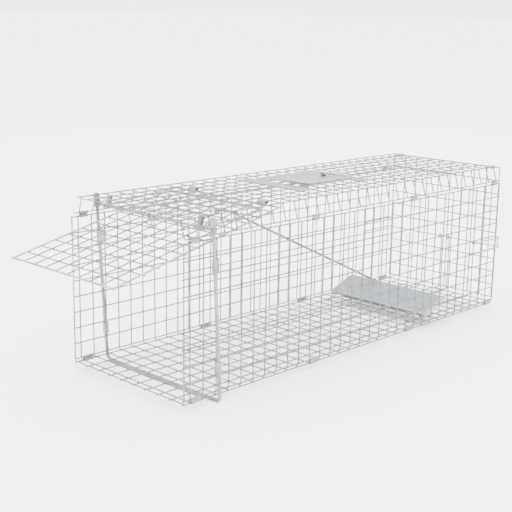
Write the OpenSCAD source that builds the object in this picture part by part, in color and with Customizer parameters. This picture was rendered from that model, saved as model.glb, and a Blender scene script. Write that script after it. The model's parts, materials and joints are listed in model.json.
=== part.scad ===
// Live catch trap: a folding wire-mesh cage with a long gravity door at the front,
// a treadle that trips it, a carry handle on the roof and a hinged rear panel.
// x runs from the door to the rear, y across, z up; the front cross wire is x = 0.

/* [Cage] */
// Mesh pitch along the cage and up its sides
cell = 25.4; // [18:0.1:32]
// Whole cells along the cage
long_cells = 31; // [20:1:40]
// Spacing of the two closely set front wires
front_gap = 11.4; // [8:0.1:16]
// Width between the edge wires of the floor
cage_w = 255; // [180:1:340]
// Cells across the floor, the roof and the rear panel
across_cells = 9; // [6:1:12]
// Cells up a side panel
side_rows = 9; // [6:1:12]
// Mesh wire
wire_d = 2.2; // [1.6:0.1:3]
// How deep crossing mesh wires are welded into each other
weld = 0.2; // [0.1:0.05:0.4]
// Distance between the edge wires of two joined panels
edge_gap = 5.5; // [4:0.1:9]

/* [Roof] */
// First roof wire behind the front edge
roof_start = 4.6; // [2:0.1:9]
// How far the bent-down roof edge leans in
flange_in = 7.4; // [0:0.1:15]
// Height of the bent-down roof edge
flange_h = 24.3; // [15:0.1:35]

/* [Clips] */
// Sheet of the rolled edge clips
clip_t = 1.2; // [0.8:0.1:2]
// Space between a floor clip's ends and the cross wires
floor_clip_gap = 2.1; // [0.5:0.1:6]
// Space between a roof clip's ends and the cross wires
roof_clip_gap = 1.2; // [0.5:0.1:4]
// Cells between neighbouring clips
clip_every = 10; // [6:1:15]
// Space between the ends of the door's and the rear panel's clips and the long wires
cross_clip_gap = 2.2; // [0.5:0.1:6]

/* [Front hoop] */
// Hoop wire
hoop_d = 5.5; // [4:0.1:8]
// Gap from the hoop's foot bar to the floor wires, centre to centre
hoop_drop = 10; // [8:0.5:16]
// Foot bar behind the front edge
hoop_foot_x = 66.5; // [50:0.5:90]
// Bend radius of the hoop
hoop_bend = 9; // [8:0.5:25]
// Play between the hoop and the side wires
hoop_play = 0.4; // [0.2:0.1:2]
// Length of the flattened eye plate above the rod
eye_h = 12.8; // [6:0.1:20]
// Half width of the eye plate
eye_r = 5.5; // [4:0.1:8]
// Thickness of the eye plate
eye_t = 3; // [2:0.1:5]
// Length of a hoop sleeve
sleeve_l = 18; // [10:0.5:20]
// Side mesh row of the lower sleeves
sleeve_low = 1; // [0:1:3]
// Side mesh rows from the top edge down to the upper sleeves
sleeve_top = 2; // [1:1:4]

/* [Front rod] */
// Rod through the hoop eyes
axle_d = 4; // [3:0.1:6]
// Rod in front of the third roof wire
axle_ahead = 4.2; // [2.5:0.1:12]
// Rod below the roof wires
axle_drop = 16; // [10:0.1:25]

/* [Door] */
// Length of the door from its hinge wire
door_l = 321; // [200:1:400]
// Space between the door's side wires and the cage's edge wires
door_side = 9.5; // [6:0.1:20]
// Frame wire of the door
door_d = 3; // [2:0.1:4]
// Roof cell behind the door's hinge wire
door_cell = 8; // [5:1:10]
// Hinge wire in front of that cell's rear roof wire
door_ahead = 7.3; // [3:0.1:12]
// Hinge wire below the roof wires
door_hinge_drop = 4.3; // [3:0.1:8]
// Slope of the set door
door_slope = 12.6; // [0:0.1:25]
// First door cross wire from the hinge wire
door_first = 14; // [8:0.5:25]
// Side wires past the door's free edge
door_tip = 2.5; // [0:0.5:3]

/* [Lock bail] */
// Bail wire
bail_d = 3; // [2:0.1:4]
// Space between the bail's end and the door's hinge wire
bail_gap = 27.3; // [10:0.1:60]
// Space between the bail's arms and the cage's edge wires
bail_side = 14.5; // [13:0.1:25]
// Rise of the resting bail
bail_rise = 5.3; // [0:0.1:10]

/* [Trigger] */
// Cells between the hinge loops' floor wire and the rear
loop_back = 9; // [6:1:16]
// Reach of the hinge loops from their floor wire to the plate's front edge
loop_reach = 29.8; // [20:0.1:45]
// Plate hinge above the middle of the floor's cross wires
plate_up = 8; // [7:0.1:18]
// Depth of the plate
plate_depth = 66; // [50:0.5:90]
// Space between the plate and the cage's edge wires
plate_side = 15.5; // [8:0.1:30]
// Sheet of the plate
plate_t = 1.2; // [0.8:0.1:2]
// Slope of the set plate
plate_tilt = 20; // [14:0.5:30]
// Folded edge of the plate
plate_fold = 7.5; // [4:0.5:9]
// Hinge wire in the plate's front and rear edges
plate_pin_d = 2.6; // [2:0.1:3]
// Space between the hinge loops and the outer floor wire inside them
loop_aside = 5; // [3.8:0.1:9]
// Wire of the hinge loops
loop_d = 3; // [2:0.1:4]
// Trigger rod
rod_d = 4; // [3:0.1:6]
// Sideways place of the rod on the plate
rod_y = 50.8; // [0:0.5:80]
// Front bend of the rod behind the door's hinge wire
rod_front_in = 16.5; // [10:0.5:60]
// Front bend of the rod below the roof wires
rod_front_drop = 31.2; // [20:0.1:60]
// End of the rod in front of the door's hinge wire
rod_tip_out = 20.5; // [14:0.5:23]
// End of the rod below the roof wires
rod_tip_drop = 24.3; // [20:0.1:40]

/* [Handle] */
// Middle of the handle in front of the middle of the cage
handle_ahead = 8; // [-60:0.1:60]
// Length of the raised platform
deck_l = 102; // [80:1:140]
// Width of the raised platform
deck_w = 112; // [80:1:160]
// Sheet of the handle plate
deck_t = 1.2; // [0.8:0.1:2]
// Rise of the platform over its feet
deck_rise = 2; // [1:0.1:4]
// Length of a foot strip
foot_l = 28; // [15:1:40]
// Width of a foot strip
foot_w = 142; // [100:1:180]
// Slot between a foot strip and the platform
slot_l = 10.5; // [6:0.5:16]
// Half length of the slot
slot_y = 36; // [20:1:50]
// Handle wire
grip_d = 5; // [4:0.1:7]
// Grip length between the middles of the arms
grip_l = 112; // [90:1:150]
// Reach of the handle from its pivots
grip_reach = 57; // [45:1:90]
// Bend radius of the handle
grip_bend = 8; // [5:0.5:15]
// Length of a pivot loop
pivot_l = 7; // [4:0.5:10]

/* [Rear panel and latches] */
// Rear panel's inner wires behind the last side wire
rear_gap = 4.2; // [3.5:0.1:8]
// Rear panel's play inside the side panels' edge line
rear_play = 3.2; // [2.5:0.1:8]
// Latch wire
latch_d = 2.5; // [2:0.1:3.5]
// Cells between the side latches' wire and the rear
latch_back = 3; // [2:1:8]
// Side mesh row that the side latches lie over
latch_row = 4; // [2:1:7]
// Space between the two wires of a side latch and the side mesh rows, both together
latch_rows_gap = 7; // [6:0.1:12]
// Outer wire of the rear latch past the nearest rear upright
rear_latch_past = 4.6; // [3.5:0.1:9]
// Rear mesh row from the top that carries the rear latch
rear_latch_row = 6; // [2:1:8]
// Inward reach of the rear latch over the floor's last wire
rear_latch_in = 16; // [8:0.5:25]

/* [Fits] */
// Radial clearance where something turns
fit = 0.06; // [0.02:0.01:0.1]
// Clear space between pieces that pass each other
pass = 0.45; // [0.3:0.05:1]

/* [Hidden] */
$fn = 48;
layer = wire_d - weld;
floor_z = hoop_drop + hoop_d / 2;
side_low = floor_z + edge_gap;
side_high = side_low + side_rows * cell;
roof_low = side_high + edge_gap;
roof_z = roof_low + flange_h;
cage_l = front_gap + long_cells * cell;
half_w = cage_w / 2;
side_y = half_w + layer;
bend_y = half_w - flange_in - layer * 0.95;
foot_y = half_w - layer * 0.95;
columns = [0, for (k = [0:long_cells]) front_gap + k * cell];
roof_columns = [for (k = [0:long_cells]) roof_start + k * cell];
roof_across = 2 * bend_y / across_cells;
hoop_y = side_y + wire_d / 2 + hoop_play + hoop_d / 2;
hanger_column = roof_columns[2];
axle_x = hanger_column - axle_ahead;
hanger_y = bend_y - roof_across / 2;
axle_z = roof_z - axle_drop;
lean = atan((hoop_foot_x - axle_x) / (axle_z - hoop_d / 2));
door_z = roof_z - door_hinge_drop;
door_w = cage_w - 2 * door_side;
hinge_column = roof_columns[door_cell];
door_hinge_x = hinge_column - door_ahead;
door_clip_y = bend_y - 1.5 * roof_across;
bail_l = door_hinge_x - axle_x - bail_gap;
bail_w = cage_w - 2 * bail_side;
floor_clip_l = cell - wire_d - 2 * floor_clip_gap;
roof_clip_l = roof_start + cell - front_gap - wire_d - 2 * roof_clip_gap;
loop_x = cage_l - loop_back * cell;
loop_y = half_w - cage_w / across_cells - loop_aside;
plate_w = cage_w - 2 * plate_side;
plate_pivot = [loop_x + loop_reach, 0, floor_z + layer + plate_up];
handle_x = cage_l / 2 - handle_ahead;
hem_r = plate_pin_d / 2 + 0.9;
rod_pivot = plate_pivot + plate_depth * [cos(plate_tilt), 0, sin(plate_tilt)];
strip_z = roof_z + layer + wire_d / 2;
deck_z = strip_z + deck_rise;
pivot_r = grip_d / 2 + 1.2;
pivot_z = deck_z + deck_t + pivot_r - 0.5;
rear_x = cage_l + rear_gap;
rear_half = half_w - rear_play;
rear_across = 2 * rear_half / across_cells;
rear_clip_y = (bend_y + rear_half - rear_across) / 2;
rear_clip_l = bend_y - rear_half + rear_across - wire_d - 2 * cross_clip_gap;
latch_x = cage_l - latch_back * cell;
latch_w = cell - latch_rows_gap;
rear_latch_w = rear_across / 2 + rear_latch_past;
latch_y = side_y + wire_d / 2 + pass + latch_d / 2;
latch_mid = side_low + (latch_row + 0.5) * cell;
hook_x = rear_x + layer + wire_d / 2 + 2 * pass + latch_d;
hook_y = rear_half + wire_d / 2 + weld + pass + latch_d / 2 + 0.1;
rear_latch_z = roof_z - rear_latch_row * cell;
rear_latch_x = rear_x + layer + wire_d / 2 + pass + latch_d / 2;
rear_hook_z = floor_z + layer + wire_d / 2 + 2 * pass + latch_d / 2;
front_end = door_hinge_x - (door_l + door_tip) * cos(door_slope) - door_d / 2 * sin(door_slope);
rear_end = hook_x + latch_d / 2 + 0.1;
middle_x = (front_end + rear_end) / 2;

// a straight mesh wire with eight flats, from one point to another
module mesh_wire(a, b) {
    v = b - a;
    l = norm(v);
    translate(a) rotate([0, acos(v[2] / l), atan2(v[1], v[0])])
        rotate(22.5) cylinder(d = wire_d / cos(22.5), h = l, $fn = 8);
}

// a straight round wire or pin
module rod(a, b, d) {
    v = b - a;
    l = norm(v);
    translate(a) rotate([0, acos(v[2] / l), atan2(v[1], v[0])]) cylinder(d = d, h = l);
}

// a bent round wire through several points
module bent(points, d) {
    for (i = [0:len(points) - 2]) rod(points[i], points[i + 1], d);
    for (i = [1:len(points) - 2]) translate(points[i]) sphere(d = d + 0.3);
}

// a quarter bend in the xy plane, from [r, 0] to [0, r]
module quarter(r, d) rotate_extrude(angle = 90) translate([r, 0]) circle(d = d);

// a U of round wire in the xy plane: foot bar at x = 0, arms along +x
module u_wire(w, l, r, d) {
    for (s = [0, 1]) mirror([0, s, 0]) {
        rod([r, w / 2, 0], [l, w / 2, 0], d);
        translate([r, w / 2 - r, 0]) rotate(90) quarter(r, d);
    }
    rod([0, r - w / 2, 0], [0, w / 2 - r, 0], d);
}

// a short tube that turns on a pin, along y
module eye_y(bore_d, wall, l) rotate([90, 0, 0]) difference() {
    cylinder(d = bore_d + 2 * (fit + wall), h = l, center = true);
    cylinder(d = bore_d + 2 * fit, h = l + 2, center = true);
}

// the flat outline that wraps two parallel wires at a and b
module slot(a, b, r) translate(a) rotate(atan2(b[1] - a[1], b[0] - a[0])) {
    circle(r);
    translate([norm(b - a), 0]) circle(r);
    translate([0, -r]) square([norm(b - a), 2 * r]);
}

module band(a, b, r, t = clip_t) difference() {
    slot(a, b, r + t);
    slot(a, b, r);
}

module along_x(x, l) translate([x, 0, 0]) rotate([90, 0, 90])
    linear_extrude(l, center = true) children();
module along_y(y, l) translate([0, y, 0]) rotate([90, 0, 0])
    linear_extrude(l, center = true) children();
module along_z(z, l) translate([0, 0, z]) linear_extrude(l, center = true) children();

// puts the middle of the whole trap, set door included, at x = 0
module place() translate([-middle_x, 0, 0]) children();

module far_copy() mirror([0, 1, 0]) children();

module floor_panel() color("#b4b6b5") place() {
    over = wire_d / 2;
    for (x = columns)
        mesh_wire([x, -half_w - over, floor_z + layer], [x, half_w + over, floor_z + layer]);
    for (k = [0:across_cells]) {
        y = -half_w + k * cage_w / across_cells;
        mesh_wire([-over, y, floor_z], [cage_l + over, y, floor_z]);
    }
}

module side_panel() color("#b4b6b5") place() {
    over = wire_d / 2;
    for (x = columns) if (abs(x - latch_x) > 1)
        mesh_wire([x, -side_y, side_low - over], [x, -side_y, side_high + over]);
    rod([latch_x, -side_y, side_low - over], [latch_x, -side_y, side_high + over], wire_d);
    for (k = [0:side_rows]) {
        z = side_low + k * cell;
        mesh_wire([-over, -half_w, z], [cage_l + over, -half_w, z]);
    }
}

module roof_panel() color("#b4b6b5") place() {
    over = wire_d / 2;
    for (x = roof_columns) mesh_wire([x, -bend_y, roof_z], [x, bend_y, roof_z]);
    for (k = [0:across_cells]) {
        y = -bend_y + k * 2 * bend_y / across_cells;
        mesh_wire([roof_columns[0] - over, y, roof_z + layer],
            [roof_columns[long_cells] + over, y, roof_z + layer]);
    }
}

module roof_flange() color("#b4b6b5") place() {
    over = wire_d / 2;
    for (x = roof_columns) mesh_wire([x, -bend_y, roof_z], [x, -foot_y, roof_low]);
    mesh_wire([roof_columns[0] - over, -half_w, roof_low],
        [roof_columns[long_cells] + over, -half_w, roof_low]);
}

module rear_panel() color("#b4b6b5") place() {
    over = wire_d / 2;
    rows = floor((roof_z - floor_z) / cell);
    for (k = [0:rows]) {
        z = roof_z - k * cell;
        a = [rear_x, -rear_half - over, z];
        b = [rear_x, rear_half + over, z];
        if (k == 0 || k == rear_latch_row) rod(a, b, wire_d);
        else mesh_wire(a, b);
    }
    for (k = [0:across_cells]) {
        y = -rear_half + k * 2 * rear_half / across_cells;
        mesh_wire([rear_x + layer, y, roof_z - rows * cell - over],
            [rear_x + layer, y, roof_z + over]);
    }
}

module front_hoop() color("#c9cbc4") place() {
    leg = (axle_z - hoop_d / 2) / cos(lean);
    difference() {
        translate([hoop_foot_x, 0, hoop_d / 2]) rotate([0, -90 - lean, 0]) {
            u_wire(2 * hoop_y, leg - eye_r, hoop_bend, hoop_d);
            for (y = [-hoop_y, hoop_y]) translate([leg, y, 0]) rotate([90, 0, 0])
                linear_extrude(eye_t, center = true) slot([-1, 0], [eye_h, 0], eye_r);
        }
        rod([axle_x, -hoop_y - eye_t, axle_z], [axle_x, hoop_y + eye_t, axle_z],
            axle_d + 2 * fit);
    }
}

module hoop_sleeves() color("#c4c6c0") place() {
    r = hoop_d / 2 + 0.1;
    wire_x = columns[1 + round((hoop_foot_x - front_gap) / cell)];
    for (row = [sleeve_low, side_rows - sleeve_top], s = [-1, 1]) {
        z = side_low + (row + 0.5) * cell;
        leg = [hoop_foot_x - (z - hoop_d / 2) * tan(lean), s * hoop_y];
        toward = [wire_x, s * side_y] - leg;
        reach = norm(toward) - (r - wire_d / 2);
        along_z(z, sleeve_l) band(leg, leg + toward * reach / norm(toward), r);
    }
}

module front_axle() color("#c4c6c4") place() {
    out = hoop_y + eye_t / 2 + 0.2;
    rod([axle_x, -out, axle_z], [axle_x, out, axle_z], axle_d);
    for (s = [-1, 1]) rod([axle_x, s * out, axle_z], [axle_x, s * (out + 1.5), axle_z],
        axle_d + 2.4);
}

module axle_hangers() color("#c4c6c4") place() {
    r = axle_d / 2 + fit;
    a = [axle_x, axle_z];
    b = [hanger_column, roof_z];
    tip = a + (b - a) * (1 - (r - wire_d / 2) / norm(b - a));
    for (s = [-1, 1]) along_y(s * hanger_y, 6) band(a, tip, r);
}

module door_catch() color("#d4d6d4") place() translate([axle_x, 0, axle_z]) {
    knee = [-6, 0, -11];
    toe = [3, 0, -15];
    for (y = [-5, 5]) translate([0, y, 0]) difference() {
        union() {
            eye_y(axle_d, 1.6, 3);
            bent([[-1, 0, -2.6], knee, toe], 2);
        }
        rod([0, -3, 0], [0, 3, 0], axle_d + 2 * fit);
    }
    rod(toe - [0, 6.5, 0], toe + [0, 6.5, 0], 2.4);
}

// turns and puts what is drawn along -x from the hinge wire into the set door's plane
module in_door() translate([door_hinge_x, 0, door_z]) rotate([0, -door_slope, 0]) children();

module door_frame() color("#cdcfcd") place() in_door() {
    rod([0, -door_w / 2 - door_d / 2, 0], [0, door_w / 2 + door_d / 2, 0], door_d);
    rod([-door_l, -door_w / 2, 0], [-door_l, door_w / 2, 0], door_d);
    for (y = [-door_w / 2, door_w / 2]) rod([0, y, 0], [-door_l - door_tip, y, 0], door_d);
}

module door_mesh() color("#c0c2c1") place() in_door() {
    gap = (door_d - wire_d) / 2 + wire_d - weld;
    for (x = [door_first:cell:door_l - 6])
        mesh_wire([-x, -door_w / 2 - 1, -gap], [-x, door_w / 2 + 1, -gap]);
    for (k = [1:across_cells - 1]) {
        y = -door_w / 2 + k * door_w / across_cells;
        mesh_wire([-door_d / 2 + weld, y, layer - gap],
            [-door_l + door_d / 2 - weld, y, layer - gap]);
    }
}

module door_hinge_clips() color("#8f908c") place() {
    r = door_d / 2 + fit;
    a = [door_hinge_x, door_z];
    b = [hinge_column, roof_z];
    tip = a + (b - a) * (1 - (r - wire_d / 2) / norm(b - a));
    for (s = [-1, 1]) along_y(s * door_clip_y, roof_across - wire_d - 3 * cross_clip_gap) band(a, tip, r);
}

module lock_bail() color("#d0d2d0") place() translate([axle_x, 0, axle_z])
    rotate([0, -bail_rise, 0]) difference() {
        union() {
            translate([bail_l, 0, 0]) rotate(180)
                u_wire(bail_w, bail_l - axle_d / 2 - 1, 10, bail_d);
            for (y = [-bail_w / 2, bail_w / 2]) translate([0, y, 0]) {
                eye_y(axle_d, 2, bail_d);
                rod([2, 0, 2], [9, 0, 7], bail_d - 0.4);
            }
        }
        rod([0, -bail_w, 0], [0, bail_w, 0], axle_d + 2 * fit);
    }

module in_plate() translate(plate_pivot) rotate([0, -plate_tilt, 0]) children();

module trigger_plate() color("#aab2b7") place() in_plate() {
    half = plate_w / 2;
    up = hem_r - plate_t;
    difference() {
        union() {
            translate([0, -half, up]) cube([plate_depth, plate_w, plate_t]);
            translate([hem_r - plate_t, -half, -plate_fold])
                cube([plate_t, plate_w, plate_fold + up + 0.2]);
            for (y = [-half, half - plate_t]) translate([hem_r - plate_t, y, -plate_fold])
                cube([plate_depth - 2 * hem_r, plate_t, plate_fold + up + 0.2]);
            for (x = [0, plate_depth]) rod([x, -half, 0], [x, half, 0], 2 * hem_r);
        }
        for (y = [-loop_y, loop_y]) translate([-6, y - 4, -plate_fold - 2])
            cube([12, 8, plate_fold + 8]);
        translate([plate_depth - 7, rod_y - 5, -6]) cube([14, 10, 12]);
    }
    for (y = [-loop_y, loop_y]) rod([0, y - 5, 0], [0, y + 5, 0], plate_pin_d);
    rod([plate_depth, rod_y - 6, 0], [plate_depth, rod_y + 6, 0], plate_pin_d);
}

module plate_hinge_loops() color("#d6d8d6") place() {
    from = [loop_x, 0, floor_z + layer];
    for (y = [-loop_y, loop_y]) translate([0, y, 0]) difference() {
        union() {
            rod(from, plate_pivot, loop_d);
            translate(from) rotate([90, 0, 0]) cylinder(d = wire_d + 3, h = 4, center = true);
            translate(plate_pivot) eye_y(plate_pin_d, 1.6, 5);
        }
        rod(from - [0, 4, 0], from + [0, 4, 0], wire_d);
        rod(plate_pivot - [0, 4, 0], plate_pivot + [0, 4, 0], plate_pin_d + 2 * fit);
    }
}

module trigger_rod() color("#b9bbb8") place() {
    back = rod_pivot + [0, rod_y, 0];
    front = [door_hinge_x + rod_front_in, 0, roof_z - rod_front_drop];
    tip = [door_hinge_x - rod_tip_out, 0, roof_z - rod_tip_drop];
    nose = tip + [13.5, 0, 0];
    difference() {
        union() {
            bent([back, front, nose, tip], rod_d);
            translate(back) eye_y(plate_pin_d, 1.8, 7);
        }
        rod(back - [0, 9, 0], back + [0, 9, 0], plate_pin_d + 2 * fit);
    }
}

module handle_plate() color("#b9bac1") place() translate([handle_x, 0, 0]) {
    strip_x = deck_l / 2 + slot_l;
    translate([-deck_l / 2, -deck_w / 2, deck_z]) cube([deck_l, deck_w, deck_t]);
    for (s = [0, 1]) mirror([s, 0, 0]) {
        translate([strip_x, -foot_w / 2, strip_z]) cube([foot_l, foot_w, deck_t]);
        for (t = [0, 1]) mirror([0, t, 0]) translate([deck_l / 2 - 1, slot_y, strip_z])
            cube([slot_l + 2, deck_w / 2 - slot_y, deck_rise + deck_t]);
    }
}

module pivot_loops() color("#c8cac9") place() translate([handle_x, 0, pivot_z])
    for (s = [-1, 1]) translate([s * (deck_l / 2 - pivot_l / 2 - 2), 0, 0])
        rotate([0, 90, 0]) difference() {
            cylinder(r = pivot_r, h = pivot_l, center = true);
            cylinder(d = grip_d + 2 * fit, h = pivot_l + 2, center = true);
        }

module handle_bail() color("#d3d5d3") place() translate([handle_x, 0, pivot_z]) {
    pin_bend = 4;
    translate([0, -grip_reach, 0]) rotate(90)
        u_wire(grip_l, grip_reach - pin_bend, grip_bend, grip_d);
    for (s = [0, 1]) mirror([s, 0, 0]) {
        translate([grip_l / 2 - pin_bend, -pin_bend, 0]) quarter(pin_bend, grip_d);
        rod([grip_l / 2 - pin_bend, 0, 0], [deck_l / 2 - pivot_l - 4, 0, 0], grip_d);
    }
}

// clips on the edge between the floor and a side panel
module floor_clips() color("#9a9b97") place()
    for (k = [0:clip_every:long_cells]) along_x(front_gap + (k + 0.5) * cell, floor_clip_l)
        band([-half_w, floor_z], [-half_w, side_low], wire_d / 2);

// clips on the edge between the roof and a side panel
module top_clips() color("#9a9b97") place()
    for (k = [0:clip_every:long_cells - 1])
        along_x((columns[k + 1] + roof_columns[k + 1]) / 2, roof_clip_l)
            band([-half_w, side_high], [-half_w, roof_low], wire_d / 2);

module rear_top_clips() color("#9a9b97") place() {
    r = wire_d / 2 + fit;
    for (s = [-1, 1]) along_y(s * rear_clip_y, rear_clip_l)
        band([roof_columns[long_cells] + fit, roof_z], [rear_x, roof_z], r);
}

module side_latch() color("#cdcfcd") place() {
    turn = 3;
    low = latch_mid - latch_w / 2;
    difference() {
        union() {
            for (z = [low, low + latch_w]) translate([0, 0, z]) {
                rod([latch_x + 0.6, -latch_y, 0], [hook_x - turn, -latch_y, 0], latch_d);
                translate([hook_x - turn, turn - latch_y, 0]) rotate(-90) quarter(turn, latch_d);
                rod([hook_x, turn - latch_y, 0], [hook_x, -hook_y, 0], latch_d);
                translate([latch_x, -side_y, 0])
                    cylinder(r = latch_y - side_y + 0.9, h = latch_d + 0.5, center = true);
            }
            rod([hook_x, -hook_y, low - latch_d / 2 - 0.2],
                [hook_x, -hook_y, low + latch_w + latch_d / 2 + 0.2], latch_d + 0.2);
        }
        rod([latch_x, -side_y, low - 5], [latch_x, -side_y, low + latch_w + 5],
            wire_d + 2 * fit);
    }
}

module rear_latch() color("#cdcfcd") place() {
    turn = 3;
    in_x = rear_latch_x - rear_latch_in;
    difference() {
        union() {
            for (y = [-rear_latch_w, 0]) translate([0, y, 0]) {
                rod([rear_latch_x, 0, rear_latch_z], [rear_latch_x, 0, rear_hook_z + turn], latch_d);
                translate([rear_latch_x - turn, 0, rear_hook_z + turn]) rotate([-90, 0, 0])
                    quarter(turn, latch_d);
                rod([rear_latch_x - turn, 0, rear_hook_z], [in_x, 0, rear_hook_z], latch_d);
                translate([in_x, 0, rear_hook_z]) sphere(d = latch_d);
                translate([rear_x, 0, rear_latch_z]) rotate([90, 0, 0])
                    cylinder(r = rear_latch_x - rear_x, h = latch_d + 0.5, center = true);
            }
            rod([in_x, -rear_latch_w, rear_hook_z], [in_x, 0, rear_hook_z], latch_d);
        }
        rod([rear_x, -rear_latch_w - 5, rear_latch_z], [rear_x, 5, rear_latch_z], wire_d + 2 * fit);
    }
}

floor_panel();
side_panel();  // near_side_panel
far_copy() side_panel();  // far_side_panel
roof_panel();
roof_flange();  // near_roof_flange
far_copy() roof_flange();  // far_roof_flange
rear_panel();
front_hoop();
hoop_sleeves();
front_axle();
axle_hangers();
door_catch();
door_frame();
door_mesh();
door_hinge_clips();
lock_bail();
trigger_plate();
plate_hinge_loops();
trigger_rod();
handle_plate();
pivot_loops();
handle_bail();
floor_clips();  // near_floor_clips
far_copy() floor_clips();  // far_floor_clips
top_clips();  // near_top_clips
far_copy() top_clips();  // far_top_clips
rear_top_clips();
side_latch();  // near_latch
far_copy() side_latch();  // far_latch
rear_latch();
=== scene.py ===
import json
import math
import bpy
from mathutils import Matrix, Vector


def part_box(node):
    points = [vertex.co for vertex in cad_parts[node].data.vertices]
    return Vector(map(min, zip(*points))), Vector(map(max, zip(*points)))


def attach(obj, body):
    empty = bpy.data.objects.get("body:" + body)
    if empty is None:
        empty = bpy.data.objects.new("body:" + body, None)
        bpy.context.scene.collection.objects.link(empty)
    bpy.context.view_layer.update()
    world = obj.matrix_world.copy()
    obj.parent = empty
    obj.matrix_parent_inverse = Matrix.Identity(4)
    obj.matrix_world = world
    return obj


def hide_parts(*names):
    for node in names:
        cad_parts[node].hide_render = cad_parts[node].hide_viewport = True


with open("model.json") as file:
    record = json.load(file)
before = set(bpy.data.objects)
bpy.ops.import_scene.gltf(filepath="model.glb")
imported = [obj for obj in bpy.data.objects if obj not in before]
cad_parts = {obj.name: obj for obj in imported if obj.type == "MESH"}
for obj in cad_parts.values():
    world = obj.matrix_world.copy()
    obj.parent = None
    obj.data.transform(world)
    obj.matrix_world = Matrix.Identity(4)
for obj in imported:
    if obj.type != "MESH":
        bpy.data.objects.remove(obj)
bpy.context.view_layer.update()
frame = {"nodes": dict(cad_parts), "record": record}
mm = 0.001
mergeWithin = 0.01 * mm
wireTurn, sheetTurn = 11, 20  # degrees of a bend for each row of faces
print("frame loaded", len(frame["nodes"]), "nodes")


# selecting, joining and repeating

def deselect():
    if bpy.context.object and bpy.context.object.mode == "EDIT":
        bpy.ops.object.mode_set(mode="OBJECT")
    bpy.ops.object.select_all(action="DESELECT")


def pick(*things):
    deselect()
    for thing in things:
        thing.select_set(True)
    bpy.context.view_layer.objects.active = things[0]


def bake(thing):
    pick(thing)
    bpy.ops.object.transform_apply(location=True, rotation=True, scale=True)
    return thing


def join(name, parts):
    pick(*parts)
    if len(parts) > 1:
        bpy.ops.object.join()
    whole = bpy.context.object
    whole.name = name
    whole.data.name = name
    return bake(whole)


def applyAll(thing):
    pick(thing)
    for modifier in list(thing.modifiers):
        bpy.ops.object.modifier_apply(modifier=modifier.name)
    return thing


def repeat(thing, count, step, weldEnds=False):
    # the same piece again and again along one step
    array = thing.modifiers.new("repeat", "ARRAY")
    array.use_relative_offset = False
    array.use_constant_offset = True
    array.count = count
    array.constant_offset_displace = step
    array.use_merge_vertices = weldEnds
    array.merge_threshold = 2 * mergeWithin
    return applyAll(thing)


def copyOf(thing, shift=(0, 0, 0), flipY=False):
    twin = thing.copy()
    twin.data = thing.data.copy()  # every copy has its own mesh
    bpy.context.scene.collection.objects.link(twin)
    if flipY:
        twin.data.transform(Matrix.Scale(-1, 4, (0, 1, 0)))
        twin.data.flip_normals()
    twin.data.transform(Matrix.Translation(shift))
    return twin


def smooth(thing, degrees=40):
    pick(thing)
    bpy.ops.object.shade_smooth_by_angle(angle=math.radians(degrees))


def straightWire(start, end, diameter, sides=12, rings=1):
    # a closed round wire, with rings so that it can be pushed out of true later
    start, end = Vector(start), Vector(end)
    along = end - start
    turn = along.to_track_quat("Z", "Y").to_euler()
    deselect()
    bpy.ops.mesh.primitive_cylinder_add(vertices=sides, radius=diameter / 2,
        depth=along.length / rings, end_fill_type="NOTHING", rotation=turn,
        location=start + along / rings / 2)
    wire = bake(bpy.context.object)
    if rings > 1:
        repeat(wire, rings, along / rings, weldEnds=True)
    pick(wire)
    bpy.ops.object.mode_set(mode="EDIT")
    bpy.ops.mesh.select_all(action="SELECT")
    bpy.ops.mesh.fill_holes(sides=0)
    bpy.ops.mesh.normals_make_consistent(inside=False)
    bpy.ops.object.mode_set(mode="OBJECT")
    return wire


def bentWire(start, heading, diameter, steps, sides=16):
    # drawn like a wire bender works: ("run", length) feeds, ("turn", degrees, radius, axis) bends
    # known fault: spin turns against Matrix.Rotation, and a negative turn has its centre on
    # the wrong side, so each bend has a small kink and what follows it is out of place
    place, heading = Vector(start), Vector(heading).normalized()
    deselect()
    bpy.ops.mesh.primitive_circle_add(vertices=sides, radius=diameter / 2, location=place,
        rotation=heading.to_track_quat("Z", "Y").to_euler())
    wire = bake(bpy.context.object)
    pick(wire)
    bpy.ops.object.mode_set(mode="EDIT")
    bpy.ops.mesh.select_all(action="SELECT")
    for step in steps:
        if step[0] == "run":
            bpy.ops.mesh.extrude_region_move(
                TRANSFORM_OT_translate={"value": heading * step[1]})
            place = place + heading * step[1]
        else:
            angle, radius = math.radians(step[1]), step[2]
            axis = Vector(step[3]).normalized()
            centre = place + axis.cross(heading) * radius
            bpy.ops.mesh.spin(steps=max(3, int(abs(step[1]) / wireTurn)), angle=angle,
                center=centre, axis=axis, use_auto_merge=False)
            spun = Matrix.Rotation(angle, 3, axis)
            place = centre + spun @ (place - centre)
            heading = (spun @ heading).normalized()
    bpy.ops.mesh.select_all(action="SELECT")
    bpy.ops.mesh.remove_doubles(threshold=mergeWithin)
    bpy.ops.mesh.fill_holes(sides=0)
    bpy.ops.mesh.normals_make_consistent(inside=False)
    bpy.ops.object.mode_set(mode="OBJECT")
    return wire


weldWidth, weldHeight = 0.62, 0.4  # in wire diameters, from the middle


def weldDot(place, wireDiameter, flatAxis):
    # the small flattened lump where two wires are spot welded
    size = [weldWidth] * 3
    size[flatAxis] = weldHeight
    deselect()
    bpy.ops.mesh.primitive_ico_sphere_add(subdivisions=1, radius=wireDiameter, location=place)
    dot = bpy.context.object
    dot.scale = size
    return bake(dot)


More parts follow.
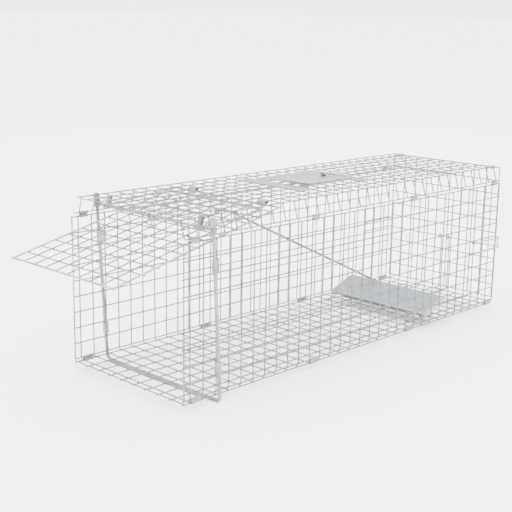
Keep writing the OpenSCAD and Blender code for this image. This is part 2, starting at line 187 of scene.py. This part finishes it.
def wander(thing, amount, size, direction):
    # wires of a welded panel are never quite straight
    cloud = bpy.data.textures.new("wander", "CLOUDS")
    cloud.noise_scale = size
    cloud.noise_depth = 1
    push = thing.modifiers.new("wander", "DISPLACE")
    push.texture = cloud
    push.texture_coords = "LOCAL"
    push.direction = direction
    push.mid_level = 0.5
    push.strength = amount
    return applyAll(thing)


def selectWhere(thing, test):
    # selects the vertices or faces whose middle passes the test, in the mode that is on
    mode = bpy.context.tool_settings.mesh_select_mode[:]
    bpy.ops.mesh.select_all(action="DESELECT")
    bpy.ops.object.mode_set(mode="OBJECT")
    if mode[2]:
        for face in thing.data.polygons:
            face.select = bool(test(face.center))
    elif mode[1]:
        for edge in thing.data.edges:
            a, b = [thing.data.vertices[v].co for v in edge.vertices]
            edge.select = bool(test(a) and test(b))
    else:
        for vertex in thing.data.vertices:
            vertex.select = bool(test(vertex.co))
    bpy.ops.object.mode_set(mode="EDIT")


def thicken(thing, thickness):
    solid = thing.modifiers.new("sheet", "SOLIDIFY")
    solid.thickness = thickness
    solid.offset = 0
    return applyAll(thing)


def bevel(thing, width, degrees=45):
    edge = thing.modifiers.new("worn edge", "BEVEL")
    edge.width = width
    edge.segments = 1
    edge.limit_method = "ANGLE"
    edge.angle_limit = math.radians(degrees)
    return applyAll(thing)


def dress(thing, material):
    thing.data.materials.clear()
    thing.data.materials.append(material)
    return thing


def finishPiece(thing, body, slotName, *stoodFor):
    smooth(thing)
    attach(thing, body)
    if stoodFor:
        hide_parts(*stoodFor)


# finishes of the trap, from the wires to the sheets

def linear(hexColour):
    channels = [int(hexColour[i:i + 2], 16) / 255 for i in (1, 3, 5)]
    return [c / 12.92 if c <= 0.04045 else ((c + 0.055) / 1.055) ** 2.4 for c in channels] + [1]


def addNode(tree, kind, inputs=None, **settings):
    node = tree.nodes.new(kind)
    for key, value in settings.items():
        setattr(node, key, value)
    for key, value in (inputs or {}).items():
        if isinstance(value, bpy.types.NodeSocket):
            tree.links.new(value, node.inputs[key])
        else:
            node.inputs[key].default_value = value
    return node


def emptyMaterial(name):
    material = bpy.data.materials.new(name)
    material.use_nodes = True
    tree = material.node_tree
    tree.nodes.clear()
    place = addNode(tree, "ShaderNodeTexCoord").outputs["Object"]
    return material, tree, place


def blendColours(tree, factor, low, high):
    mix = addNode(tree, "ShaderNodeMix", data_type="RGBA")
    tree.links.new(factor, mix.inputs["Factor"])
    for slotIndex, colour in ((6, low), (7, high)):
        if isinstance(colour, bpy.types.NodeSocket):
            tree.links.new(colour, mix.inputs[slotIndex])
        else:
            mix.inputs[slotIndex].default_value = linear(colour)
    return mix.outputs[2]


def zincWire(name, look):
    # round drawn wire with a zinc skin: soft grey sheen, cloudy patches and fine dull pitting
    material, tree, place = emptyMaterial(name)
    patches = addNode(tree, "ShaderNodeTexNoise", {"Vector": place, "Scale": 1 / look["patch"],
        "Detail": 4.0, "Roughness": 0.6})
    contrast = addNode(tree, "ShaderNodeMapRange", {"Value": patches.outputs["Fac"],
        "From Min": 0.35, "From Max": 0.68})
    grain = addNode(tree, "ShaderNodeTexNoise", {"Vector": place, "Scale": 1 / look["grain"],
        "Detail": 2.0})
    colour = blendColours(tree, contrast.outputs["Result"], look["dark"], look["light"])
    rough = addNode(tree, "ShaderNodeMapRange", {"Value": grain.outputs["Fac"],
        "To Min": look["rough"][0], "To Max": look["rough"][1]})
    bump = addNode(tree, "ShaderNodeBump", {"Height": grain.outputs["Fac"], "Strength": 0.25,
        "Distance": look["pit"]})
    skin = addNode(tree, "ShaderNodeBsdfPrincipled", {"Base Color": colour,
        "Metallic": look["metal"], "Roughness": rough.outputs["Result"],
        "Normal": bump.outputs["Normal"]})
    addNode(tree, "ShaderNodeOutputMaterial", {"Surface": skin.outputs["BSDF"]})
    return material


def zincSheet(name, look):
    # hot dipped sheet: crystals of slightly different greys, with faint rolling lines
    material, tree, place = emptyMaterial(name)
    crystals = addNode(tree, "ShaderNodeTexVoronoi", {"Vector": place,
        "Scale": 1 / look["crystal"]})
    shade = addNode(tree, "ShaderNodeSeparateColor", {"Color": crystals.outputs["Color"]})
    stretched = addNode(tree, "ShaderNodeMapping", {"Vector": place,
        "Scale": look["lineStretch"]})
    lines = addNode(tree, "ShaderNodeTexNoise", {"Vector": stretched.outputs["Vector"],
        "Scale": 1 / look["line"], "Detail": 3.0})
    clouds = addNode(tree, "ShaderNodeTexNoise", {"Vector": place, "Scale": 1 / look["cloud"],
        "Detail": 3.0})
    mixed = addNode(tree, "ShaderNodeMath", {0: shade.outputs["Red"], 1: 0.45},
        operation="MULTIPLY")
    cloudy = addNode(tree, "ShaderNodeMath", {0: clouds.outputs["Fac"], 1: 0.65,
        2: mixed.outputs["Value"]}, operation="MULTIPLY_ADD")
    colour = blendColours(tree, cloudy.outputs["Value"], look["dark"], look["light"])
    edges = addNode(tree, "ShaderNodeNewGeometry").outputs["Pointiness"]
    worn = addNode(tree, "ShaderNodeMapRange", {"Value": edges, "From Min": 0.52,
        "From Max": 0.6, "To Max": 0.6})
    colour = blendColours(tree, worn.outputs["Result"], colour, "#c3c6c6")
    rough = addNode(tree, "ShaderNodeMapRange", {"Value": shade.outputs["Green"],
        "To Min": look["rough"][0], "To Max": look["rough"][1]})
    bump = addNode(tree, "ShaderNodeBump", {"Height": lines.outputs["Fac"], "Strength": 0.2,
        "Distance": 0.05 * mm})
    skin = addNode(tree, "ShaderNodeBsdfPrincipled", {"Base Color": colour,
        "Metallic": look["metal"], "Roughness": rough.outputs["Result"],
        "Normal": bump.outputs["Normal"]})
    addNode(tree, "ShaderNodeOutputMaterial", {"Surface": skin.outputs["BSDF"]})
    return material


# hot dipped welded wire: a soft, half matt mid grey, in clouds 14 mm wide
galvanisedMesh = zincWire("galvanised welded wire", {"patch": 14 * mm, "grain": 0.8 * mm,
    "pit": 0.08 * mm, "dark": "#5f6264", "light": "#8f9190", "rough": (0.42, 0.6), "metal": 0.75})
# thick plated wire: a slightly warm, yellowish grey
zincHoopWire = zincWire("zinc plated hoop wire", {"patch": 22 * mm, "grain": 0.9 * mm,
    "pit": 0.08 * mm, "dark": "#75766e", "light": "#9b9c93", "rough": (0.38, 0.55), "metal": 0.8})
# bright plated spring wire: the lightest and the glossiest
brightZincWire = zincWire("bright zinc plated wire", {"patch": 18 * mm, "grain": 0.7 * mm,
    "pit": 0.05 * mm, "dark": "#7c7e7c", "light": "#adaeab", "rough": (0.25, 0.42), "metal": 0.85})
# rolled plated strip: lighter than the mesh, mottled in patches 5 mm wide
rolledClipSteel = zincWire("rolled clip strip", {"patch": 5 * mm, "grain": 0.5 * mm,
    "pit": 0.06 * mm, "dark": "#6f706b", "light": "#9c9d98", "rough": (0.35, 0.55), "metal": 0.85})
# hot dipped sheet: half matt bluish grey, in crystals 9 mm across
plateSheet = zincSheet("galvanised treadle sheet", {"cloud": 45 * mm, "crystal": 9 * mm,
    "line": 1.2 * mm, "lineStretch": (1, 0.04, 1), "dark": "#5c6267", "light": "#7d8388",
    "rough": (0.45, 0.6), "metal": 0.4})
# where the weld burnt the zinc: duller and darker than the wire
weldSpot = zincWire("burnt weld spots", {"patch": 6 * mm, "grain": 0.5 * mm,
    "pit": 0.1 * mm, "dark": "#55575a", "light": "#84857f", "rough": (0.5, 0.7), "metal": 0.7})
# folded lip of the same sheet: painted shade makes it darker than its top, standing in for the
# shadow under the plate; it is also duller
plateLipPaintedShade = zincSheet("folded lip with painted shade", {"cloud": 45 * mm, "crystal": 7 * mm, "line": 1.2 * mm,
    "lineStretch": (1, 0.04, 1), "dark": "#43484c", "light": "#5f656a", "rough": (0.55, 0.7),
    "metal": 0.3})
# hot dipped sheet of the handle: lilac grey crystals under faint rolling lines
handleSheet = zincSheet("galvanised handle sheet", {"cloud": 45 * mm, "crystal": 7 * mm,
    "line": 1.0 * mm, "lineStretch": (0.04, 1, 1), "dark": "#5e5e67", "light": "#80808a",
    "rough": (0.4, 0.55), "metal": 0.55})
print("materials made")


# the welded panels of the cage

mesh = {
    "pitch": 25.4 * mm,       # cell of the mesh, along the cage and up its sides
    "wire": 2.2 * mm,
    "frontGap": 11.4 * mm,    # the two front wires stand closer together
    "cells": 31,
    "across": 9,
    "wander": 0.7 * mm,       # how far a wire strays from straight
    "wanderSize": 70 * mm,
    "edgeInset": 1.9 * mm,    # a roof wire starts this far inside the near edge wire
    "roofBend": 2.5 * mm,
}


def middleWires(node):
    # the box of a panel's wires, taken in by half a wire all round
    low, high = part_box(node)
    half = mesh["wire"] / 2
    return Vector(low) + Vector((half,) * 3), Vector(high) - Vector((half,) * 3)


def joinMesh(name, wires, spots):
    for wire in wires:
        dress(wire, galvanisedMesh)
    for spot in spots:
        dress(spot, weldSpot)
    return join(name, wires + spots)


def floorMesh():
    low, high = middleWires("floor_panel")
    pitch, wire = mesh["pitch"], mesh["wire"]
    gapY = (high.y - low.y) / mesh["across"]
    rings = mesh["across"] * 2
    first = straightWire((low.x, low.y - wire / 2, high.z), (low.x, high.y + wire / 2, high.z),
        wire, rings=rings)
    second = copyOf(first, (mesh["frontGap"], 0, 0))
    repeat(second, mesh["cells"] + 1, (pitch, 0, 0))
    along = straightWire((low.x - wire / 2, low.y, low.z), (high.x + wire / 2, low.y, low.z),
        wire, rings=mesh["cells"])
    repeat(along, mesh["across"] + 1, (0, gapY, 0))
    dotZ = (low.z + high.z) / 2
    dots = weldDot((low.x + mesh["frontGap"], low.y, dotZ), wire, 2)
    repeat(dots, mesh["cells"] + 1, (pitch, 0, 0))
    repeat(dots, mesh["across"] + 1, (0, gapY, 0))
    frontDots = weldDot((low.x, low.y, dotZ), wire, 2)
    repeat(frontDots, mesh["across"] + 1, (0, gapY, 0))
    panel = joinMesh("floorMesh", [first, second, along], [dots, frontDots])
    wander(panel, mesh["wander"] * 0.6, mesh["wanderSize"], "Z")
    finishPiece(panel, "cage", "galvanised_mesh", "floor_panel")


def sideMesh(name, node, outward):
    low, high = middleWires(node)
    pitch, wire = mesh["pitch"], mesh["wire"]
    outer = high.y if outward > 0 else low.y
    inner = low.y if outward > 0 else high.y
    rows = round((high.z - low.z) / pitch)
    first = straightWire((low.x, outer, low.z - wire / 2), (low.x, outer, high.z + wire / 2),
        wire, rings=rows)
    second = copyOf(first, (mesh["frontGap"], 0, 0))
    repeat(second, mesh["cells"] + 1, (pitch, 0, 0))
    along = straightWire((low.x - wire / 2, inner, low.z), (high.x + wire / 2, inner, low.z),
        wire, rings=mesh["cells"])
    repeat(along, rows + 1, (0, 0, pitch))
    dotY = (inner + outer) / 2
    dots = weldDot((low.x + mesh["frontGap"], dotY, low.z), wire, 1)
    repeat(dots, mesh["cells"] + 1, (pitch, 0, 0))
    repeat(dots, rows + 1, (0, 0, pitch))
    frontDots = weldDot((low.x, dotY, low.z), wire, 1)
    repeat(frontDots, rows + 1, (0, 0, pitch))
    panel = joinMesh(name, [first, second, along], [dots, frontDots])
    wander(panel, mesh["wander"], mesh["wanderSize"], "Y")
    wander(panel, mesh["wander"], mesh["wanderSize"], "X")
    finishPiece(panel, "cage", "galvanised_mesh", node)


def roofMesh():
    # the bent cross wires start at the near edge and go over the top
    # known fault: they end about 9 mm short of the far edge wire, see bentWire
    flatLow, flatHigh = middleWires("roof_panel")
    edge = middleWires("near_roof_flange")[0]
    wire, bendY = mesh["wire"], flatHigh.y
    foot = Vector((flatLow.x, edge.y + mesh["edgeInset"], edge.z))
    rise = Vector((flatLow.x, -bendY, flatLow.z)) - foot
    lean = math.degrees(rise.angle(Vector((0, 1, 0))))
    bend = mesh["roofBend"]
    cut = bend * math.tan(math.radians(lean) / 2)
    cross = bentWire(foot, rise, wire, [
        ("run", rise.length - cut), ("turn", -lean, bend, (1, 0, 0)),
        ("run", 2 * bendY - 2 * cut), ("turn", -lean, bend, (1, 0, 0)),
        ("run", rise.length - cut)], sides=12)
    repeat(cross, mesh["cells"] + 1, (mesh["pitch"], 0, 0))
    along = straightWire((flatLow.x, -bendY, flatHigh.z), (flatHigh.x, -bendY, flatHigh.z),
        wire, rings=mesh["cells"])
    gapY = 2 * bendY / mesh["across"]
    repeat(along, mesh["across"] + 1, (0, gapY, 0))
    nearEdge = straightWire((flatLow.x, edge.y, edge.z), (flatHigh.x, edge.y, edge.z), wire,
        rings=mesh["cells"])
    farEdge = copyOf(nearEdge, flipY=True)
    dots = weldDot((flatLow.x, -bendY, (flatLow.z + flatHigh.z) / 2), wire, 2)
    repeat(dots, mesh["cells"] + 1, (mesh["pitch"], 0, 0))
    repeat(dots, mesh["across"] + 1, (0, gapY, 0))
    panel = joinMesh("roofMesh", [cross, along, nearEdge, farEdge], [dots])
    wander(panel, mesh["wander"], mesh["wanderSize"], "X")
    wander(panel, mesh["wander"] * 0.5, mesh["wanderSize"], "Z")
    finishPiece(panel, "cage", "galvanised_mesh",
        "roof_panel", "near_roof_flange", "far_roof_flange")


def rearMesh():
    low, high = middleWires("rear_panel")
    pitch, wire = mesh["pitch"], mesh["wire"]
    rows = round((high.z - low.z) / pitch)
    gapY = (high.y - low.y) / mesh["across"]
    upright = straightWire((high.x, low.y, low.z - wire / 2), (high.x, low.y, high.z + wire / 2),
        wire, rings=rows)
    repeat(upright, mesh["across"] + 1, (0, gapY, 0))
    cross = straightWire((low.x, low.y - wire / 2, low.z), (low.x, high.y + wire / 2, low.z),
        wire, rings=mesh["across"] * 2)
    repeat(cross, rows + 1, (0, 0, pitch))
    dots = weldDot(((low.x + high.x) / 2, low.y, low.z), wire, 0)
    repeat(dots, mesh["across"] + 1, (0, gapY, 0))
    repeat(dots, rows + 1, (0, 0, pitch))
    panel = joinMesh("rearMesh", [upright, cross], [dots])
    wander(panel, mesh["wander"] * 0.6, mesh["wanderSize"], "X")
    finishPiece(panel, "rear", "galvanised_mesh", "rear_panel")


floorMesh()
sideMesh("nearSideMesh", "near_side_panel", -1)
sideMesh("farSideMesh", "far_side_panel", 1)
roofMesh()
rearMesh()
print("welded panels made")


# the mesh of the drop door

def jointPlace(name):
    for joint in frame["record"]["behaviour"]["joints"]:
        if joint["name"] == name:
            return Vector(joint["pos_m"])


def turnedTo(thing, degrees, place):
    # from a piece's own drawing position to where it sits when the trap is set
    thing.data.transform(Matrix.Translation(place)
        @ Matrix.Rotation(math.radians(degrees), 4, "Y"))
    return thing


door = {
    "slope": 12.6,
    "width": 236 * mm,
    "length": 321 * mm,
    "firstWire": 14 * mm,
    "crossWires": 12,
    "crossHeight": -2.4 * mm,
    "longHeight": -0.4 * mm,
}


def doorMesh():
    wire, across = mesh["wire"], door["width"] / mesh["across"]
    half = door["width"] / 2
    cross = straightWire((-door["firstWire"], -half - mm, door["crossHeight"]),
        (-door["firstWire"], half + mm, door["crossHeight"]), wire, rings=18)
    repeat(cross, door["crossWires"], (-mesh["pitch"], 0, 0))
    along = straightWire((-1.3 * mm, across - half, door["longHeight"]),
        (1.3 * mm - door["length"], across - half, door["longHeight"]), wire, rings=24)
    repeat(along, mesh["across"] - 1, (0, across, 0))
    dots = weldDot((-door["firstWire"], across - half,
        (door["crossHeight"] + door["longHeight"]) / 2), wire, 2)
    repeat(dots, door["crossWires"], (-mesh["pitch"], 0, 0))
    repeat(dots, mesh["across"] - 1, (0, across, 0))
    panel = joinMesh("doorMesh", [cross, along], [dots])
    wander(panel, 0.5 * mm, mesh["wanderSize"], "Z")
    turnedTo(panel, -door["slope"], jointPlace("door_swing"))
    finishPiece(panel, "door", "galvanised_mesh", "door_mesh")


doorMesh()


# strips rolled round pairs of edge wires

clips = {
    "sheet": 0.9 * mm,
    "floorLength": 19 * mm,
    "roofLength": 14 * mm,
    "spacing": 254 * mm,
    "count": 4,
    "seam": 0.9 * mm,        # the strip's ends don't quite meet
    "flare": 0.35 * mm,      # one end of the strip stands proud
    "pinch": 0.93,           # rolled tighter in the middle than at its mouths
}


def rolledClip(outer, span, length):
    # drawn standing: its length is up, the two wires lie side by side along x
    radius = outer - clips["sheet"] / 2
    sides, rings = 18, 6
    deselect()
    bpy.ops.mesh.primitive_cylinder_add(vertices=sides, radius=radius, depth=length / rings,
        end_fill_type="NOTHING", rotation=(0, 0, math.pi / sides),
        location=(0, 0, length / rings / 2 - length / 2))
    clip = bake(bpy.context.object)
    repeat(clip, rings, (0, 0, length / rings), weldEnds=True)
    pick(clip)
    bpy.ops.object.mode_set(mode="EDIT")
    bpy.ops.mesh.select_mode(type="FACE")
    selectWhere(clip, lambda c: abs(c.x) < radius * 0.1 and c.y > 0)
    bpy.ops.mesh.delete(type="FACE")
    bpy.ops.mesh.select_mode(type="VERT")
    for side in (-1, 1):
        selectWhere(clip, lambda c: c.x * side > 0)
        bpy.ops.transform.translate(value=(side * span / 2, 0, 0))
        edgeX = span / 2 + radius * math.sin(math.pi / sides)
        selectWhere(clip, lambda c: abs(c.x * side - edgeX) < 0.02 * mm and c.y > 0)
        bpy.ops.mesh.extrude_region_move(TRANSFORM_OT_translate={
            "value": (side * (clips["seam"] / 2 - edgeX), clips["flare"] * (side > 0), 0)})
    selectWhere(clip, lambda c: abs(c.z) < length * 0.3)
    bpy.ops.transform.resize(value=(1, clips["pinch"], 1), center_override=(0, 0, 0))
    bpy.ops.mesh.select_all(action="SELECT")
    bpy.ops.mesh.normals_make_consistent(inside=False)
    bpy.ops.object.mode_set(mode="OBJECT")
    thicken(clip, clips["sheet"])
    bevel(clip, 0.2 * mm)
    return clip


def edgeClips(name, node, length, inward):
    low, high = [Vector(corner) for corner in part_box(node)]
    outer = (high.y - low.y) / 2
    span = high.z - low.z - 2 * outer
    clip = rolledClip(outer, span, length)
    middle = (low + high) / 2
    # its length along the cage, its wires one above the other, its seam inside the cage
    clip.data.transform(Matrix.Translation((low.x + length / 2, middle.y, middle.z))
        @ Matrix(((0, 0, 1, 0), (0, inward, 0, 0), (-inward, 0, 0, 0), (0, 0, 0, 1))))
    repeat(clip, clips["count"], (clips["spacing"], 0, 0))
    clip.name = name
    dress(clip, rolledClipSteel)
    finishPiece(clip, "cage", "clip_steel", node)


edgeClips("nearFloorClips", "near_floor_clips", clips["floorLength"], 1)
edgeClips("farFloorClips", "far_floor_clips", clips["floorLength"], -1)
edgeClips("nearTopClips", "near_top_clips", clips["roofLength"], 1)
edgeClips("farTopClips", "far_top_clips", clips["roofLength"], -1)
print("door mesh and clips made")


# the plate that the animal steps on

plate = {
    "tilt": 20,
    "depth": 66 * mm,
    "width": 222 * mm,
    "sheet": 0.8 * mm,
    "hem": 1.75 * mm,        # middle of the rolled hem's wall
    "fold": 7.3 * mm,
    "loopAt": 94.17 * mm,
    "rodAt": 50.8 * mm,
    "pin": 2.6 * mm,
    "loopNotch": (6 * mm, 4 * mm),    # depth and half width, at each hinge loop
    "rodNotch": (8.5 * mm, 5 * mm),
    "loopPin": 5 * mm,                # half lengths of the pins
    "rodPin": 6 * mm,
    "rows": 33,
}


def edgeLine(width, pitch, x, z):
    # a line of short edges across the cage, the start of a sheet
    count = round(width / pitch)
    deselect()
    bpy.ops.mesh.primitive_grid_add(x_subdivisions=1, y_subdivisions=count, size=1)
    line = bpy.context.object
    line.scale = (0.001, width, 1)
    line.location = (x + 0.0005, 0, z)
    bake(line)
    pick(line)
    bpy.ops.object.mode_set(mode="EDIT")
    bpy.ops.mesh.select_mode(type="VERT")
    selectWhere(line, lambda c: c.x > x + 0.0005)
    bpy.ops.mesh.delete(type="VERT")
    bpy.ops.mesh.select_all(action="SELECT")
    return line


def feedSheet(place, heading, steps):
    # the selected edge goes on as a sheet, bent like a press brake bends it
    # known fault: spin turns against Matrix.Rotation, so a hem rolls on its inner side
    for step in steps:
        if step[0] == "run":
            for part in range(step[2]):
                bpy.ops.mesh.extrude_region_move(
                    TRANSFORM_OT_translate={"value": heading * step[1] / step[2]})
            place = place + heading * step[1]
        else:
            angle, radius = math.radians(step[1]), step[2]
            axis = Vector((0, 1, 0))
            centre = place + axis.cross(heading) * radius
            bpy.ops.mesh.spin(steps=max(3, int(abs(step[1]) / sheetTurn)), angle=angle,
                center=centre, axis=axis, use_auto_merge=False)
            spun = Matrix.Rotation(angle, 3, axis)
            place = centre + spun @ (place - centre)
            heading = (spun @ heading).normalized()


def treadle():
    hem, depth, half = plate["hem"], plate["depth"], plate["width"] / 2
    # one sheet from the front hem over the top to the rear hem
    sheet = edgeLine(plate["width"], mm, 0, -hem)
    feedSheet(Vector((0, 0, -hem)), Vector((-1, 0, 0)), [("turn", 180, hem),
        ("run", depth, plate["rows"]), ("turn", 250, hem)])
    bpy.ops.mesh.select_mode(type="EDGE")
    for side in (-1, 1):
        selectWhere(sheet, lambda c: abs(c.y * side - half) < 0.1 * mm
            and hem < c.x < depth - hem and c.z > 0)
        bpy.ops.mesh.extrude_region_move(TRANSFORM_OT_translate={
            "value": (0, 0, -plate["fold"] - hem)})
    bpy.ops.object.mode_set(mode="OBJECT")
    # the stiff lip that hangs just behind the front hem
    lip = edgeLine(plate["width"], mm, hem, hem - 0.2 * mm)
    feedSheet(Vector((hem, 0, hem)), Vector((0, 0, -1)), [("run", plate["fold"] + hem, 4)])
    bpy.ops.object.mode_set(mode="OBJECT")
    # the folded lip gets the darker sheet with painted shade, for the shadow under the plate's
    # front edge
    whole = join("treadlePlate", [dress(sheet, plateSheet), dress(lip, plateLipPaintedShade)])
    pick(whole)
    bpy.ops.object.mode_set(mode="EDIT")
    bpy.ops.mesh.select_mode(type="FACE")
    deep, half = plate["loopNotch"]
    selectWhere(whole, lambda c: c.x < deep and abs(abs(c.y) - plate["loopAt"]) < half)
    bpy.ops.mesh.delete(type="FACE")
    deep, half = plate["rodNotch"]
    selectWhere(whole, lambda c: c.x > depth - deep and abs(c.y - plate["rodAt"]) < half)
    bpy.ops.mesh.delete(type="FACE")
    bpy.ops.mesh.select_all(action="SELECT")
    bpy.ops.mesh.remove_doubles(threshold=mergeWithin)
    bpy.ops.mesh.normals_make_consistent(inside=False)
    bpy.ops.object.mode_set(mode="OBJECT")
    thicken(whole, plate["sheet"])
    pins = [straightWire((0, y - plate["loopPin"], 0), (0, y + plate["loopPin"], 0),
        plate["pin"]) for y in (-plate["loopAt"], plate["loopAt"])]
    pins.append(straightWire((depth, plate["rodAt"] - plate["rodPin"], 0),
        (depth, plate["rodAt"] + plate["rodPin"], 0), plate["pin"]))
    whole = join("treadlePlate", [whole] + [dress(pin, brightZincWire) for pin in pins])
    turnedTo(whole, -plate["tilt"], jointPlace("plate_tilt"))
    finishPiece(whole, "plate", "plate_sheet", "trigger_plate")


treadle()
print("treadle made")


# the pressed plate under the carry handle

handle = {
    "length": 179 * mm,
    "width": 142 * mm,
    "deckHalf": 50.5 * mm,
    "footFrom": 61.5 * mm,
    "deckSide": 56 * mm,
    "slotSide": 36 * mm,
    "rise": 2 * mm,
    "sheet": 1.0 * mm,
    "rib": 0.5 * mm,         # shallow pressed border of the platform
    "ribIn": 6 * mm,
}


def handlePlate():
    low, high = [Vector(corner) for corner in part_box("handle_plate")]
    middle = (low + high) / 2
    deselect()
    bpy.ops.mesh.primitive_grid_add(size=1,
        x_subdivisions=round(handle["length"] / mm), y_subdivisions=round(handle["width"] / mm))
    sheet = bpy.context.object
    sheet.scale = (handle["length"], handle["width"], 1)
    bake(sheet)
    pick(sheet)
    bpy.ops.object.mode_set(mode="EDIT")
    bpy.ops.mesh.select_mode(type="FACE")
    selectWhere(sheet, lambda c: abs(c.x) < handle["footFrom"]
        and abs(c.y) > handle["deckSide"])
    bpy.ops.mesh.delete(type="FACE")
    selectWhere(sheet, lambda c: handle["deckHalf"] < abs(c.x) < handle["footFrom"]
        and abs(c.y) < handle["slotSide"])
    bpy.ops.mesh.delete(type="FACE")
    bpy.ops.mesh.select_mode(type="VERT")
    # the platform and its two shallow pressed steps
    for inset, rise in ((-1.5 * mm, handle["rise"] / 2), (0, handle["rise"] / 2)):
        selectWhere(sheet, lambda c: abs(c.x) < handle["footFrom"] - 4 * mm + inset * 2)
        bpy.ops.transform.translate(value=(0, 0, rise))
    selectWhere(sheet, lambda c: abs(c.x) < handle["deckHalf"] - handle["ribIn"]
        and abs(c.y) < handle["deckSide"] - handle["ribIn"])
    bpy.ops.transform.translate(value=(0, 0, -handle["rib"]))
    selectWhere(sheet, lambda c: abs(c.x) < handle["footFrom"] + 1.5 * mm)
    bpy.ops.mesh.vertices_smooth(factor=0.5, repeat=2, xaxis=False, yaxis=False, zaxis=True)
    bpy.ops.object.mode_set(mode="OBJECT")
    thicken(sheet, handle["sheet"])
    sheet.data.transform(Matrix.Translation((middle.x, middle.y,
        low.z + handle["sheet"] / 2 + 0.1 * mm)))
    sheet.name = "handlePlate"
    dress(sheet, handleSheet)
    finishPiece(sheet, "cage", "handle_sheet", "handle_plate")


handlePlate()
print("handle plate made")


# pieces whose shape is already right, with the finish of each

finishes = {
    "front_hoop": zincHoopWire, "front_axle": zincHoopWire, "axle_hangers": zincHoopWire,
    "hoop_sleeves": zincHoopWire, "door_frame": brightZincWire,
    "lock_bail": brightZincWire, "door_catch": brightZincWire, "trigger_rod": galvanisedMesh,
    "plate_hinge_loops": brightZincWire, "handle_bail": brightZincWire,
    "pivot_loops": brightZincWire, "near_latch": brightZincWire, "far_latch": brightZincWire,
    "rear_latch": brightZincWire, "rear_top_clips": rolledClipSteel,
    "door_hinge_clips": rolledClipSteel,
}
for nodeName, material in finishes.items():
    kept = frame["nodes"][nodeName]
    kept.data.materials.clear()
    kept.data.materials.append(material)
print("finishes given")


# paper floor, softboxes and camera

studio = {
    "floorSize": 400, "air": "#ffffff", "seenWall": 3.0, "wallStrength": 1.4,
    "ceilingStrength": 6.5, "keyPower": 120, "keySize": 2.6, "fillPower": 60, "fillSize": 3,
}

deselect()
bpy.ops.mesh.primitive_plane_add(size=studio["floorSize"], location=(0, 0, 0))
ground = bpy.context.object
ground.name = "studioFloor"
paper, paperTree, paperPlace = emptyMaterial("white studio paper")
fibre = addNode(paperTree, "ShaderNodeTexNoise", {"Vector": paperPlace, "Scale": 60.0})
paperSkin = addNode(paperTree, "ShaderNodeBsdfPrincipled", {
    "Base Color": blendColours(paperTree, fibre.outputs["Fac"], "#fafafa", "#fdfdfc"),
    "Roughness": 0.9})
addNode(paperTree, "ShaderNodeOutputMaterial", {"Surface": paperSkin.outputs["BSDF"]})
ground.data.materials.append(paper)

world = bpy.data.worlds.new("studio air")
bpy.context.scene.world = world
world.use_nodes = True
airTree = world.node_tree
airTree.nodes.clear()
airPlace = addNode(airTree, "ShaderNodeTexCoord").outputs["Generated"]
airHeight = addNode(airTree, "ShaderNodeSeparateXYZ", {"Vector": airPlace}).outputs["Z"]
# a bright ceiling over dimmer walls
ceiling = addNode(airTree, "ShaderNodeMapRange", {"Value": airHeight, "From Min": 0.05,
    "From Max": 0.85, "To Min": studio["wallStrength"], "To Max": studio["ceilingStrength"]})
seen = addNode(airTree, "ShaderNodeLightPath").outputs["Is Camera Ray"]
paleWall = addNode(airTree, "ShaderNodeMath", {0: seen, 1: studio["seenWall"],
    2: ceiling.outputs["Result"]}, operation="MULTIPLY_ADD")
airLight = addNode(airTree, "ShaderNodeBackground", {"Color": linear(studio["air"]),
    "Strength": paleWall.outputs["Value"]})
addNode(airTree, "ShaderNodeOutputWorld", {"Surface": airLight.outputs["Background"]})


def softbox(name, place, aim, power, size):
    deselect()
    bpy.ops.object.light_add(type="AREA", location=place)
    lamp = bpy.context.object
    lamp.name = name
    lamp.data.energy = power
    lamp.data.size = size
    lamp.rotation_euler = (Vector(aim) - Vector(place)).to_track_quat("-Z", "Y").to_euler()


softbox("keySoftbox", (-1.2, -2.0, 2.6), (0, 0, 0.1), studio["keyPower"], studio["keySize"])
softbox("fillSoftbox", (2.2, 1.6, 2.2), (0, 0, 0.1), studio["fillPower"], studio["fillSize"])

lens = {
    "place": (-1.2592, -1.1616, 0.5562),  # where the camera stands, in metres
    "heading": -45.56, "downward": 13.26, "roll": 0.897, "focal": 72.6,
}
deselect()
bpy.ops.object.camera_add(location=lens["place"])
camera = bpy.context.object
camera.name = "studioCamera"
camera.data.lens = lens["focal"]
camera.data.sensor_width = 36
camera.rotation_euler = (Matrix.Rotation(math.radians(lens["heading"]), 3, "Z")
    @ Matrix.Rotation(math.radians(90 - lens["downward"]), 3, "X")
    @ Matrix.Rotation(math.radians(lens["roll"]), 3, "Z")).to_euler()
bpy.context.scene.camera = camera
print("studio set")
